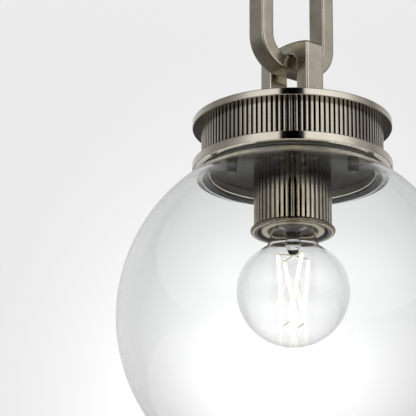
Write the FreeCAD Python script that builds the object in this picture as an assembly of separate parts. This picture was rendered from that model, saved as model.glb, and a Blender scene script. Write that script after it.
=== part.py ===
import FreeCAD, Part
import math
import os

# Chain-hung globe pendant, millimetres, +Z up.  The origin is the middle of the outlet-box
# screws, in the ceiling plane, and everything hangs below it.  Links 1 and 3 lie in the XZ
# plane, link 2 and both yokes lie in the YZ plane.

# --- fits ---------------------------------------------------------------------------------
thread_clear = 0.05     # radial, screws and nipples in their nuts and tapped holes
hole_clear = 0.3        # radial, a screw or nipple through a plain hole
pivot_clear = 0.05      # radial, a tab on its shoulder screw
seat_clear = 0.2        # radial, a turned piece dropped inside another
face_gap = 0.1          # between flat faces that slide on each other
chain_gap = 1.2         # between two bars that hook round each other, so that they can rock
bulb_clear = 0.4        # radial, lamp cap in the screw shell
tip_gap = 0.3           # between the lamp's tip and the centre contact
shell_gap = 0.1         # radial, screw shell in its bore
cap_gap = 0.1           # between the bulb's glass and its cap
gasket_gap = 0.2        # radial, gasket set in from the edge of the glass rim
screw_room = 0.5        # left below the end of a screw in a blind hole

# --- ceiling side -------------------------------------------------------------------------
canopy_radius = 65.0
canopy_rim_height = 4.0
canopy_band_radius = 59.5
canopy_band_height = 15.0
canopy_face_height = 5.0
canopy_wall = 3.0       # under the reeds of the canopy band
canopy_web = 2.0
box_screw_spacing = 88.9
box_slot_length = 12.0
box_slot_radius = 2.3
strap_length = 106.0
strap_width = 20.0
strap_thick = 1.6
strap_hole_radius = 6.0
strap_corner = 4.0
stud_spacing = 69.85
stud_radius = 2.1
stud_nut_height = 2.6
stud_nut_flats = 7.0
stud_bevel = 0.3
knob_radius = 6.5
knob_height = 9.0
knob_bore_depth = 6.0
knob_edge = 1.0
knob_dome = ((4.0, 0.0), (1.9, 0.9), (0.6, 2.6))    # height above the end, step in from the side
ground_screw_x = 14.0
ground_screw_y = 5.0
ground_screw_radius = 1.9
ground_screw_head = 3.6
ground_screw_head_height = 1.8
gland_radius = 5.0      # cord gland in the middle of the canopy face
gland_bore = 3.4
gland_flange_radius = 8.0
gland_flange_height = 2.0
gland_edge = 1.2        # width of the slope round the flange
gland_slope = 0.8
gland_stick_out = 2.0   # above its nut

# --- flat-bar chain -----------------------------------------------------------------------
link_count = 3
link_length = 152.7
link_width = 68.0
link_bar = 11.0
link_thick = 16.2
link_corner = 25.0
yoke_width = 53.0
yoke_thick = 16.2
yoke_leg = 12.5
yoke_crown = 9.5        # height of the bar across the top of a yoke, at its middle
yoke_opening = 49.2     # from the feet to the underside of the crown
yoke_dome = 4.0         # rise of the crown above its shoulders
yoke_corner = 10.0
bar_bevel = 1.8
yoke_screw_radius = 2.5
yoke_screw_depth = 12.0
yoke_screw_head = 4.6
yoke_screw_head_height = 3.0
yoke_screw_short = 1.0  # of the tapped hole's full depth

# --- collar -------------------------------------------------------------------------------
collar_radius = 72.0
collar_rim_height = 5.3
collar_web = 2.0
rim_width = 9.0         # of the thick edge of the top plate and of the canopy face
band_radius = 65.5
band_height = 26.6
band_wall = 2.4         # under the reeds
reed_depth = 1.5
reed_pitch = 3.74
reed_share = 0.56       # of the pitch taken by the reed, the rest is the slot
reed_crown = 0.15       # how far a reed's middle stands above its edges
gallery_height = 6.5
gallery_bore = band_radius - 5.5
edge_bevel = 0.5
plate_thick = 1.5

# --- socket cup and lampholder ------------------------------------------------------------
nipple_radius = 5.0
nipple_bore = 3.4
nut_flats = 2 * nipple_radius + 4.0
nut_height = 3.0
washer_height = 1.0
washer_radius = nipple_radius + 3.5
nipple_stick_out = 2.5
nipple_tail = 1.5       # below the bottom nut
washer_bevel = 0.2
bush_flange = 1.0
bush_sleeve = 4.0
bush_bore = 2.8
bush_overhang = 0.3     # of the flange past the nipple
cup_radius = 28.0
cup_bore = 25.3
cup_drop = 45.0         # from the underside of the gallery to the lip of the cup
cup_top = 2.0
cup_reed_depth = 1.0
lip_radius = 30.4
lip_height = 3.2
cup_strap_width = 2 * nipple_radius + 2.0
cup_strap_thick = 1.5
cup_strap_foot = 22.0   # reach of the strap's feet from the axis
cup_strap_leg = 12.0    # distance of the strap's legs from the axis
cup_screw_reach = 15.75
cup_screw_head = 2.8
cup_screw_head_height = 1.8
cup_lid_lap = 0.5       # of the lid into the reeded wall
holder_radius = 22.7
holder_body_radius = 20.8
holder_skirt = 16.0
holder_height = 40.0
holder_recess = 1.0
holder_mouth = 17.9
holder_mouth_depth = 6.5
holder_edge = 0.8
holder_mouth_edge = 0.6
holder_top_edge = 1.0
holder_shoulder = 2.0   # height of the slope above the skirt
shell_wall = 0.4
thread_pitch = 3.63
small_screw_radius = 1.75
small_screw_head = 3.4
small_screw_head_height = 2.0
small_screw_depth = 5.0
terminal_offset = 14.5
contact_radius = 4.0
contact_height = 0.6
contact_drop = 0.7      # of the contact below the top of the shell
rivet_radius = 1.5
rivet_head = 1.0        # height of the rivet's head above the porcelain
rivet_lip = 1.2         # of the head past the shank, at its foot
contact_room = 1.5      # radial, round the contact in the shell's end
slot_hollow = 0.2       # how far a slot's middle lies below its edges

# --- glass globe and its retainers --------------------------------------------------------
globe_radius = 125.0
globe_wall = 3.0
globe_opening = 66.7    # radius of the rim's outer edge
gasket_thick = 1.3
tab_count = 3
tab_first_angle = 50.0
tab_circle = band_radius - 15.5
tab_reach = 65.5
tab_width = 8.0
tab_thick = 1.2
tab_pin_radius = 2.0
tab_glass_gap = 0.5
spacer_radius = 4.0
tab_head_radius = 3.6
tab_head_height = 2.2
tab_pin_stick_out = 1.0

# --- lamp bulb ----------------------------------------------------------------------------
bulb_radius = 40.0
bulb_drop = 43.0        # from the lip of the cup to the middle of the bulb
bulb_shoulder = 34.0    # radius of the glass above its widest place
bulb_wall = 0.8
neck_radius = 16.6
neck_fillet = 12.0
neck_end = 3.5          # above the lip of the cup, where the neck starts to close
neck_close = 2.5
cap_radius = 13.1       # over the thread
cap_root = 12.2
cap_wall = 0.35
cap_skirt = 5.0
glass_end = 0.5         # from the end of the glass to the top of the skirt
cap_height = 20.0
cap_shoulder = 1.2
insulator_height = 2.8
insulator_radius = 7.5
tip_radius = 4.5
tip_height = 1.6
tip_dome = 0.3
tip_flat = 1.5
vitrite_edge = 1.6      # of the insulator past its small end, where the cap grips it
cap_grip = 0.2          # of the cap past that edge
stem_tip = 27.0         # above the middle of the bulb
stem_radius = 4.0
stem_bead = 5.6
stem_flare_gap = 4.0    # radial, flare of the stem inside the neck
hub_share = 0.12        # of the way out from the axis, where the lead wires leave the stem
filament_count = 4
filament_radius = 1.1
filament_top = 25.0
filament_bottom = -23.0
filament_top_circle = 12.5
filament_bottom_circle = 8.0
filament_first_angle = -10.0
filament_twist = -53.0
wire_radius = 0.3
wire_gap = 0.15

# --- heights that follow from the sizes above ----------------------------------------------
canopy_face_z = -(canopy_rim_height + canopy_band_height + canopy_face_height)
yoke_height = yoke_opening + yoke_crown
first_link_z = canopy_face_z - yoke_opening + chain_gap + link_bar
link_step = link_length - 2 * link_bar - chain_gap
last_link_z = first_link_z - (link_count - 1) * link_step
lamp_crown_z = last_link_z - link_length + link_bar + chain_gap
collar_top_z = lamp_crown_z - yoke_opening
band_top_z = collar_top_z - collar_rim_height
gallery_top_z = band_top_z - band_height
gallery_low_z = gallery_top_z - gallery_height
lip_z = gallery_low_z - cup_drop
strap_low_z = gallery_top_z - cup_top - cup_strap_thick
holder_face_z = lip_z + holder_recess
holder_top_z = holder_face_z + holder_height
shell_low_z = holder_face_z + holder_mouth_depth
cap_low_z = lip_z + neck_end + neck_close
cap_top_z = cap_low_z + cap_height
insulator_z = cap_top_z + cap_shoulder
tip_z = insulator_z + insulator_height + tip_height
shell_top_z = tip_z + tip_gap + contact_height + contact_drop
globe_rim_z = gallery_low_z - gasket_thick
globe_z = globe_rim_z - math.sqrt(globe_radius ** 2 - globe_opening ** 2)
inner_globe = globe_radius - globe_wall
rim_inner_radius = math.sqrt(inner_globe ** 2 - (globe_rim_z - globe_z) ** 2)
tab_top_z = globe_z + math.sqrt(inner_globe ** 2 - tab_reach ** 2) - tab_glass_gap
bulb_z = lip_z - bulb_drop
shell_bore_radius = cap_radius + bulb_clear + 2 * shell_wall + 0.5

CENTRE = FreeCAD.Vector(0, 0, 0)
UP = FreeCAD.Vector(0, 0, 1)


def at(x, y, z):
    return FreeCAD.Vector(x, y, z)


def polar(radius, degrees, z):
    angle = math.radians(degrees)
    return at(radius * math.cos(angle), radius * math.sin(angle), z)


def turned(points, x=0.0, y=0.0):
    """Solid of revolution about an upright axis, from a closed outline of (radius, z) points."""
    wire = Part.makePolygon([at(r, 0, z) for r, z in points + points[:1]])
    solid = Part.Face(wire).revolve(CENTRE, UP, 360)
    solid.translate(at(x, y, 0))
    return solid


def ring(outer, inner, low, high, bevel=0.0, x=0.0, y=0.0):
    """Plain ring, or a disc when inner is 0, with its two outer edges bevelled."""
    outline = [(inner, low), (outer - bevel, low)]
    if bevel:
        outline += [(outer, low + bevel), (outer, high - bevel)]
    outline += [(outer - bevel, high), (inner, high)]
    return turned(outline, x, y)


def rod(start, end, radius):
    run = end - start
    return Part.makeCylinder(radius, run.Length, start, run)


def hexagon(flats, bore, low, height, x=0.0, y=0.0):
    """Hexagon nut of the given width across flats."""
    corner = flats / math.sqrt(3)
    points = [polar(corner, 60 * i, low) + at(x, y, 0) for i in range(7)]
    solid = Part.Face(Part.makePolygon(points)).extrude(at(0, 0, height))
    return solid.cut(Part.makeCylinder(bore, height, at(x, y, low)))


def screw(radius, length, head_radius, head_height, x, y, seat, points_up):
    """Pan-head screw whose head rests on the plane z = seat, with its shank up or down."""
    way = 1 if points_up else -1
    edge = head_height * 0.3
    outline = [
        (0, seat - way * head_height),
        (head_radius - edge, seat - way * head_height),
        (head_radius, seat - way * (head_height - edge)),
        (head_radius, seat),
        (radius, seat),
        (radius, seat + way * length),
        (0, seat + way * length),
    ]
    return turned(outline, x, y)


def reeded_ring(crest, depth, bore, low, high):
    """Ring with upright reeds round it: slightly crowned lands between round-bottomed slots."""
    count = round(2 * math.pi * crest / reed_pitch)
    pitch = 360.0 / count
    land = pitch * reed_share / 2
    edges = []
    for i in range(count):
        a = i * pitch
        shoulder_in = polar(crest - reed_crown, a - land, low)
        shoulder_out = polar(crest - reed_crown, a + land, low)
        root_in = polar(crest - depth, a + land, low)
        root_out = polar(crest - depth, a + pitch - land, low)
        next_in = polar(crest - reed_crown, a + pitch - land, low)
        edges.append(Part.Arc(shoulder_in, polar(crest, a, low), shoulder_out).toShape())
        edges.append(Part.makeLine(shoulder_out, root_in))
        middle = polar(crest - depth - slot_hollow, a + pitch / 2, low)
        edges.append(Part.Arc(root_in, middle, root_out).toShape())
        edges.append(Part.makeLine(root_out, next_in))
    solid = Part.Face(Part.Wire(edges)).extrude(at(0, 0, high - low))
    return solid.cut(Part.makeCylinder(bore, high - low, at(0, 0, low)))


def bevelled_bar(face, thickness, skip_feet):
    """Extrudes a flat outline that lies in the YZ plane and bevels its edges on both faces."""
    face.translate(at(-thickness / 2, 0, 0))
    solid = face.extrude(at(thickness, 0, 0))
    edges = []
    for edge in solid.Edges:
        box = edge.BoundBox
        on_face = box.XLength < 0.001
        on_feet = skip_feet and box.ZMax < 0.001
        if on_face and not on_feet:
            edges.append(edge)
    return solid.makeChamfer(bar_bevel, edges)


def rounded_outline(width, height, radius):
    """Rounded rectangle in the YZ plane, centred on the Z axis, with its top at z = 0."""
    w = width / 2
    c = radius * (1 - math.sqrt(0.5))
    edges = []
    for side in (1, -1):
        top = 0 if side == 1 else -height
        inward = -side
        a = at(0, side * (w - radius), top)
        b = at(0, side * w, top + inward * radius)
        edges.append(Part.Arc(a, at(0, side * (w - c), top + inward * c), b).toShape())
        low = -height if side == 1 else 0
        d = at(0, side * w, low + side * radius)
        edges.append(Part.makeLine(b, d))
        e = at(0, side * (w - radius), low)
        edges.append(Part.Arc(d, at(0, side * (w - c), low + side * c), e).toShape())
        edges.append(Part.makeLine(e, at(0, -side * (w - radius), low)))
    return Part.Wire(Part.__sortEdges__(edges))


def chain_link(index):
    outside = rounded_outline(link_width, link_length, link_corner)
    inside = rounded_outline(link_width - 2 * link_bar, link_length - 2 * link_bar,
                             link_corner - link_bar)
    inside.translate(at(0, 0, -link_bar))
    face = Part.Face(outside).cut(Part.Face(inside)).Faces[0]
    solid = bevelled_bar(face, link_thick, False)
    if index % 2 == 0:
        solid.rotate(CENTRE, UP, 90)
    solid.translate(at(0, 0, first_link_z - index * link_step))
    return solid


def yoke():
    """Stirrup standing on z = 0, with a tapped hole in each foot."""
    w = yoke_width / 2
    inner = w - yoke_leg
    corner = yoke_opening - yoke_corner
    bend = yoke_corner * math.sqrt(0.5)
    shoulder = yoke_height - yoke_dome
    edges = [
        Part.makeLine(at(0, -w, 0), at(0, -w, shoulder)),
        Part.Arc(at(0, -w, shoulder), at(0, 0, yoke_height), at(0, w, shoulder)).toShape(),
        Part.makeLine(at(0, w, shoulder), at(0, w, 0)),
        Part.makeLine(at(0, w, 0), at(0, inner, 0)),
        Part.makeLine(at(0, inner, 0), at(0, inner, corner)),
        Part.Arc(at(0, inner, corner),
                 at(0, inner - yoke_corner + bend, corner + bend),
                 at(0, inner - yoke_corner, yoke_opening)).toShape(),
        Part.makeLine(at(0, inner - yoke_corner, yoke_opening),
                      at(0, yoke_corner - inner, yoke_opening)),
        Part.Arc(at(0, yoke_corner - inner, yoke_opening),
                 at(0, yoke_corner - inner - bend, corner + bend),
                 at(0, -inner, corner)).toShape(),
        Part.makeLine(at(0, -inner, corner), at(0, -inner, 0)),
        Part.makeLine(at(0, -inner, 0), at(0, -w, 0)),
    ]
    solid = bevelled_bar(Part.Face(Part.Wire(edges)), yoke_thick, True)
    for y in foot_places():
        hole = Part.makeCylinder(yoke_screw_radius + thread_clear, yoke_screw_depth, at(0, y, 0))
        solid = solid.cut(hole)
    return solid


def foot_places():
    middle = (yoke_width - yoke_leg) / 2
    return (-middle, middle)


def canopy_yoke():
    solid = yoke()
    solid.rotate(CENTRE, at(1, 0, 0), 180)
    solid.translate(at(0, 0, canopy_face_z))
    return solid


def lamp_yoke():
    solid = yoke()
    solid.translate(at(0, 0, collar_top_z))
    return solid


def yoke_screws(seat, points_up):
    length = yoke_screw_depth - yoke_screw_short + canopy_web
    return [screw(yoke_screw_radius, length, yoke_screw_head, yoke_screw_head_height,
                  0, y, seat, points_up) for y in foot_places()]


# --- ceiling side -------------------------------------------------------------------------

def stud_places():
    return (-stud_spacing / 2, stud_spacing / 2)


def mounting_strap():
    solid = Part.makeBox(strap_length, strap_width, strap_thick,
                         at(-strap_length / 2, -strap_width / 2, -strap_thick))
    corners = [e for e in solid.Edges if e.BoundBox.ZLength > strap_thick / 2]
    solid = solid.makeFillet(strap_corner, corners)
    half = box_slot_length / 2 - box_slot_radius
    for side in (-1, 1):
        middle = side * box_screw_spacing / 2
        slot = Part.makeBox(2 * half, 2 * box_slot_radius, strap_thick,
                            at(middle - half, -box_slot_radius, -strap_thick))
        for end in (-half, half):
            slot = slot.fuse(Part.makeCylinder(box_slot_radius, strap_thick,
                                               at(middle + end, 0, -strap_thick)))
        solid = solid.cut(slot)
    for x in stud_places():
        solid = solid.cut(Part.makeCylinder(stud_radius + thread_clear, strap_thick,
                                            at(x, 0, -strap_thick)))
    solid = solid.cut(Part.makeCylinder(ground_screw_radius + thread_clear, strap_thick,
                                        at(ground_screw_x, ground_screw_y, -strap_thick)))
    return solid.cut(Part.makeCylinder(strap_hole_radius, strap_thick, at(0, 0, -strap_thick)))


def canopy_studs():
    low = canopy_face_z - knob_bore_depth + screw_room
    return [ring(stud_radius, 0, low, 0, stud_bevel, x) for x in stud_places()]


def stud_nuts():
    return [hexagon(stud_nut_flats, stud_radius + thread_clear, -strap_thick - stud_nut_height,
                    stud_nut_height, x) for x in stud_places()]


def ground_screw():
    return [screw(ground_screw_radius, strap_thick, ground_screw_head, ground_screw_head_height,
                  ground_screw_x, ground_screw_y, -strap_thick, True)]


def canopy_rim():
    low = -canopy_rim_height
    inner = canopy_band_radius - reed_depth - canopy_wall
    return [ring(canopy_radius, inner, low, 0, edge_bevel)]


def canopy_band():
    inner = canopy_band_radius - reed_depth - canopy_wall
    low = -canopy_rim_height - canopy_band_height
    return [reeded_ring(canopy_band_radius, reed_depth, inner, low, -canopy_rim_height)]


def flanged_plate(radius, face, web, rim_height, way, bore):
    """Turned plate with a thick edge.  Its flat face is at z = face, and way is 1 if it
    thickens upwards from that face, or -1 if it thickens downwards."""
    back = face + way * rim_height
    web_z = face + way * web
    inner = radius - rim_width
    outline = [
        (bore, face),
        (radius - edge_bevel, face),
        (radius, face + way * edge_bevel),
        (radius, back - way * edge_bevel),
        (radius - edge_bevel, back),
        (inner, back),
        (inner, web_z),
        (bore, web_z),
    ]
    return turned(outline)


def canopy_face():
    solid = flanged_plate(canopy_radius, canopy_face_z, canopy_web, canopy_face_height, 1,
                          gland_radius + hole_clear)
    holes = [(x, 0, stud_radius) for x in stud_places()]
    holes += [(0, y, yoke_screw_radius) for y in foot_places()]
    for x, y, radius in holes:
        solid = solid.cut(Part.makeCylinder(radius + hole_clear, canopy_web,
                                            at(x, y, canopy_face_z)))
    return [solid]


def canopy_knobs():
    """Domed cap nuts that hold the canopy up on its studs."""
    top = canopy_face_z
    low = top - knob_height
    bore = stud_radius + thread_clear
    solids = []
    for x in stud_places():
        outline = [
            (bore, top),
            (knob_radius - knob_edge, top),
            (knob_radius, top - knob_edge),
            *[(knob_radius - step, low + height) for height, step in knob_dome],
            (0, low),
            (0, top - knob_bore_depth),
            (bore, top - knob_bore_depth),
        ]
        solids.append(turned(outline, x))
    return solids


def canopy_gland():
    """Threaded bush that a cord would leave the canopy through."""
    low = canopy_face_z - gland_flange_height
    high = canopy_face_z + canopy_web + nut_height + gland_stick_out
    outline = [
        (gland_bore, low),
        (gland_flange_radius - gland_edge, low),
        (gland_flange_radius, low + gland_slope),
        (gland_flange_radius, canopy_face_z),
        (gland_radius, canopy_face_z),
        (gland_radius, high),
        (gland_bore, high),
    ]
    return [turned(outline)]


def canopy_gland_nut():
    return [hexagon(nut_flats, gland_radius + thread_clear, canopy_face_z + canopy_web,
                    nut_height)]


# --- collar -------------------------------------------------------------------------------

def collar_top():
    solid = flanged_plate(collar_radius, collar_top_z, collar_web, collar_rim_height, -1,
                          nipple_radius + hole_clear)
    for y in foot_places():
        solid = solid.cut(Part.makeCylinder(yoke_screw_radius + hole_clear, collar_web,
                                            at(0, y, collar_top_z - collar_web)))
    return [solid]


def collar_band():
    inner = band_radius - reed_depth - band_wall
    return [reeded_ring(band_radius, reed_depth, inner, gallery_top_z, band_top_z)]


def collar_gallery():
    """Lower flange, whose flat underside takes the rim of the globe."""
    return [ring(collar_radius, gallery_bore, gallery_low_z, gallery_top_z, edge_bevel)]


def tab_places():
    step = 360.0 / tab_count
    return [tab_first_angle + i * step for i in range(tab_count)]


def fitter_plate():
    """Disc on top of the gallery, inside the band, that carries the cup and the tabs."""
    radius = band_radius - reed_depth - band_wall - seat_clear
    solid = ring(radius, nipple_radius + hole_clear, gallery_top_z, gallery_top_z + plate_thick)
    for angle in tab_places():
        place = polar(tab_circle, angle, gallery_top_z)
        solid = solid.cut(Part.makeCylinder(tab_pin_radius + thread_clear, plate_thick, place))
    return [solid]


def lamp_nipple():
    """Threaded tube that clamps the collar, plates and cup together."""
    low = strap_low_z - nut_height - nipple_tail
    high = collar_top_z + washer_height + nut_height + nipple_stick_out
    return [ring(nipple_radius, nipple_bore, low, high)]


def lamp_washer():
    return [ring(washer_radius, nipple_radius + hole_clear, collar_top_z,
                 collar_top_z + washer_height, washer_bevel)]


def lamp_top_nut():
    return [hexagon(nut_flats, nipple_radius + thread_clear, collar_top_z + washer_height,
                    nut_height)]


def lamp_bottom_nut():
    return [hexagon(nut_flats, nipple_radius + thread_clear, strap_low_z - nut_height,
                    nut_height)]


def lamp_bush():
    """Plastic bush in the top of the nipple, where a cord would go in."""
    seat = collar_top_z + washer_height + nut_height + nipple_stick_out
    sleeve = nipple_bore - thread_clear
    outline = [
        (bush_bore, seat - bush_sleeve),
        (sleeve, seat - bush_sleeve),
        (sleeve, seat),
        (nipple_radius + bush_overhang, seat),
        (nipple_radius + bush_overhang, seat + bush_flange / 2),
        (nipple_radius - edge_bevel, seat + bush_flange),
        (bush_bore, seat + bush_flange),
    ]
    return [turned(outline)]


# --- socket cup and lampholder ------------------------------------------------------------

def socket_cup():
    """Reeded cup with a flat top and a rolled lip."""
    wall_top = gallery_top_z - cup_top
    body = reeded_ring(cup_radius, cup_reed_depth, cup_bore, lip_z + lip_height, gallery_top_z)
    lid = ring(cup_bore + cup_lid_lap, nipple_radius + hole_clear, wall_top, gallery_top_z)
    middle = lip_z + lip_height / 2
    lip_edges = [
        Part.makeLine(at(cup_bore, 0, lip_z + lip_height),
                      at(cup_bore, 0, lip_z + edge_bevel)),
        Part.makeLine(at(cup_bore, 0, lip_z + edge_bevel), at(cup_bore + edge_bevel, 0, lip_z)),
        Part.makeLine(at(cup_bore + edge_bevel, 0, lip_z),
                      at(lip_radius - lip_height / 2, 0, lip_z)),
        Part.Arc(at(lip_radius - lip_height / 2, 0, lip_z), at(lip_radius, 0, middle),
                 at(lip_radius - lip_height / 2, 0, lip_z + lip_height)).toShape(),
        Part.makeLine(at(lip_radius - lip_height / 2, 0, lip_z + lip_height),
                      at(cup_bore, 0, lip_z + lip_height)),
    ]
    lip = Part.Face(Part.Wire(lip_edges)).revolve(CENTRE, UP, 360)
    return [body.fuse([lid, lip]).removeSplitter()]


def cup_strap():
    """U-shaped strap: plate under the cup's top, two legs and two feet on the lampholder."""
    w = cup_strap_width
    t = cup_strap_thick
    plate = Part.makeBox(2 * cup_strap_leg, w, t, at(-cup_strap_leg, -w / 2, strap_low_z))
    solid = plate
    foot = cup_strap_foot - cup_strap_leg - t
    for side in (-1, 1):
        leg_x = cup_strap_leg - t if side == 1 else -cup_strap_leg
        foot_x = cup_strap_leg - t if side == 1 else -cup_strap_leg - foot + t
        leg = Part.makeBox(t, w, strap_low_z - holder_top_z, at(leg_x, -w / 2, holder_top_z))
        pad = Part.makeBox(foot, w, t, at(foot_x, -w / 2, holder_top_z))
        solid = solid.fuse([leg, pad])
    for x in cup_screw_places():
        solid = solid.cut(Part.makeCylinder(small_screw_radius + hole_clear, t,
                                            at(x, 0, holder_top_z)))
    hole = Part.makeCylinder(nipple_radius + hole_clear, t, at(0, 0, strap_low_z))
    return [solid.cut(hole).removeSplitter()]


def cup_screw_places():
    return (-cup_screw_reach, cup_screw_reach)


def cup_screws():
    seat = holder_top_z + cup_strap_thick
    return [screw(small_screw_radius, small_screw_depth + cup_strap_thick, cup_screw_head,
                  cup_screw_head_height, x, 0, seat, False) for x in cup_screw_places()]


def terminal_screws():
    return [screw(small_screw_radius, small_screw_depth, small_screw_head,
                  small_screw_head_height, 0, y, holder_top_z, False)
            for y in (-terminal_offset, terminal_offset)]


def lampholder_body():
    """Porcelain lampholder: open skirt, bore for the screw shell, closed top."""
    face = holder_face_z
    outline = [
        (holder_mouth + holder_mouth_edge, face),
        (holder_radius - holder_edge, face),
        (holder_radius, face + holder_edge),
        (holder_radius, face + holder_skirt),
        (holder_body_radius, face + holder_skirt + holder_shoulder),
        (holder_body_radius, holder_top_z - holder_top_edge),
        (holder_body_radius - holder_top_edge, holder_top_z),
        (rivet_radius + thread_clear, holder_top_z),
        (rivet_radius + thread_clear, shell_top_z),
        (shell_bore_radius, shell_top_z),
        (shell_bore_radius, shell_low_z),
        (holder_mouth, shell_low_z),
        (holder_mouth, face + holder_mouth_edge),
    ]
    solid = turned(outline)
    places = [(x, 0) for x in cup_screw_places()]
    places += [(0, -terminal_offset), (0, terminal_offset)]
    for x, y in places:
        depth = small_screw_depth + screw_room
        solid = solid.cut(Part.makeCylinder(small_screw_radius + thread_clear, depth,
                                            at(x, y, holder_top_z - depth)))
    return [solid]


def rolled_tube(root, crest, wall, low, high):
    """(radius, z) points of a tube with a rolled round thread, drawn as level rings."""
    steps = 2 * int((high - low) / thread_pitch)
    step = (high - low) / steps
    outside = [(root if i % 2 == 0 else crest, low + i * step) for i in range(steps + 1)]
    inside = [(r - wall, z) for r, z in reversed(outside)]
    return outside, inside


def screw_shell():
    crest = shell_bore_radius - shell_gap
    root = crest - shell_wall
    top = shell_top_z - shell_wall
    outside, inside = rolled_tube(root, crest, shell_wall, shell_low_z, top)
    hole = contact_radius + contact_room
    outline = outside + [(root, shell_top_z), (hole, shell_top_z), (hole, top)] + inside
    return [turned(outline)]


def centre_contact():
    low = tip_z + tip_gap
    outline = [
        (0, low),
        (contact_radius, low),
        (contact_radius, low + contact_height),
        (rivet_radius, low + contact_height),
        (rivet_radius, holder_top_z),
        (rivet_radius + rivet_lip, holder_top_z),
        (rivet_radius + rivet_lip / 2, holder_top_z + rivet_head),
        (0, holder_top_z + rivet_head),
    ]
    return [turned(outline)]


# --- globe and retainers ------------------------------------------------------------------

def glass_gasket():
    return [ring(globe_opening - gasket_gap, rim_inner_radius + gasket_gap, globe_rim_z, gallery_low_z)]


def globe():
    """Blown ball cut flat across its top, where the rim is ground."""
    shell = Part.makeSphere(globe_radius, at(0, 0, globe_z))
    shell = shell.cut(Part.makeSphere(inner_globe, at(0, 0, globe_z)))
    lid = Part.makeCylinder(globe_radius, globe_radius, at(0, 0, globe_rim_z))
    return [shell.cut(lid)]


def tab(index):
    """Flat turn-button on a shoulder screw, pointing outwards under the rim of the globe."""
    half = tab_width / 2
    reach = tab_reach - tab_circle
    low = tab_top_z - tab_thick
    body = Part.makeBox(reach - half, tab_width, tab_thick, at(0, -half, low))
    body = body.fuse([Part.makeCylinder(half, tab_thick, at(0, 0, low)),
                      Part.makeCylinder(half, tab_thick, at(reach - half, 0, low))])
    bore = Part.makeCylinder(tab_pin_radius + pivot_clear, tab_thick, at(0, 0, low))
    body = body.cut(bore).removeSplitter()
    body.translate(at(tab_circle, 0, 0))
    body.rotate(CENTRE, UP, tab_places()[index])
    return [body]


def tab_spacers():
    solids = []
    for angle in tab_places():
        place = polar(tab_circle, angle, 0)
        solids.append(ring(spacer_radius, tab_pin_radius + thread_clear, tab_top_z + face_gap,
                           gallery_top_z, 0.0, place.x, place.y))
    return solids


def tab_screws():
    seat = tab_top_z - tab_thick - face_gap
    length = gallery_top_z + plate_thick + tab_pin_stick_out - seat
    solids = []
    for angle in tab_places():
        place = polar(tab_circle, angle, 0)
        solids.append(screw(tab_pin_radius, length, tab_head_radius, tab_head_height,
                            place.x, place.y, seat, True))
    return solids


# --- lamp bulb ----------------------------------------------------------------------------

def envelope_outline(offset):
    """Edges of the bulb's glass from its bottom to its sealed end, set in by offset."""
    ball = bulb_radius - offset
    shoulder = bulb_shoulder - offset
    neck = neck_radius - offset
    fillet = neck_fillet + offset
    core = bulb_radius - bulb_shoulder
    reach = neck + fillet - core
    rise = math.sqrt((shoulder + fillet) ** 2 - reach ** 2)
    share = shoulder / (shoulder + fillet)
    turn = math.atan2(rise, reach)
    bottom = at(0, 0, bulb_z - ball)
    low_side = at(ball * math.sqrt(0.5), 0, bulb_z - ball * math.sqrt(0.5))
    side = at(ball, 0, bulb_z)
    high_side = at(core + shoulder * math.cos(turn / 2), 0, bulb_z + shoulder * math.sin(turn / 2))
    join = at(core + reach * share, 0, bulb_z + rise * share)
    bend = at(core + reach - fillet * math.cos(turn / 2), 0,
              bulb_z + rise - fillet * math.sin(turn / 2))
    start_neck = at(neck, 0, bulb_z + rise)
    neck_top = at(neck, 0, lip_z + neck_end)
    closed = at(cap_root - cap_gap - offset, 0, cap_low_z)
    end = at(cap_root - cap_gap - offset, 0, cap_low_z + cap_skirt - glass_end)
    edges = [
        Part.Arc(bottom, low_side, side).toShape(),
        Part.Arc(side, high_side, join).toShape(),
        Part.Arc(join, bend, start_neck).toShape(),
        Part.makeLine(start_neck, neck_top),
        Part.makeLine(neck_top, closed),
        Part.makeLine(closed, end),
    ]
    return edges, bottom, end


def bulb_envelope():
    outer, outer_bottom, outer_end = envelope_outline(0.0)
    inner, inner_bottom, inner_end = envelope_outline(bulb_wall)
    edges = outer + inner + [Part.makeLine(outer_bottom, inner_bottom),
                             Part.makeLine(outer_end, inner_end)]
    face = Part.Face(Part.Wire(Part.__sortEdges__(edges)))
    return [face.revolve(CENTRE, UP, 360)]


def bulb_cap():
    """Screw cap: smooth skirt, rolled thread and a shoulder that holds the insulator."""
    thread_low = cap_low_z + cap_skirt
    outside, inside = rolled_tube(cap_root, cap_radius, cap_wall, thread_low, cap_top_z)
    skirt = cap_root + cap_wall
    seat = insulator_z
    low = cap_low_z + cap_gap
    grip = insulator_radius + vitrite_edge + cap_grip
    outline = [(skirt, low), (skirt, thread_low)] + outside[1:]
    outline += [(grip, seat), (grip - cap_wall, seat)]
    outline += inside[:-1] + [(skirt - cap_wall, thread_low), (skirt - cap_wall, low)]
    return [turned(outline)]


def bulb_insulator():
    low = insulator_z
    outline = [
        (0, low),
        (insulator_radius + vitrite_edge, low),
        (insulator_radius, low + insulator_height / 2),
        (tip_radius, low + insulator_height),
        (0, low + insulator_height),
    ]
    return [turned(outline)]


def bulb_tip():
    low = insulator_z + insulator_height
    outline = [(0, low), (tip_radius, low), (tip_radius - 1.0, tip_z - tip_dome), (tip_flat, tip_z),
               (0, tip_z)]
    return [turned(outline)]


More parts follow.
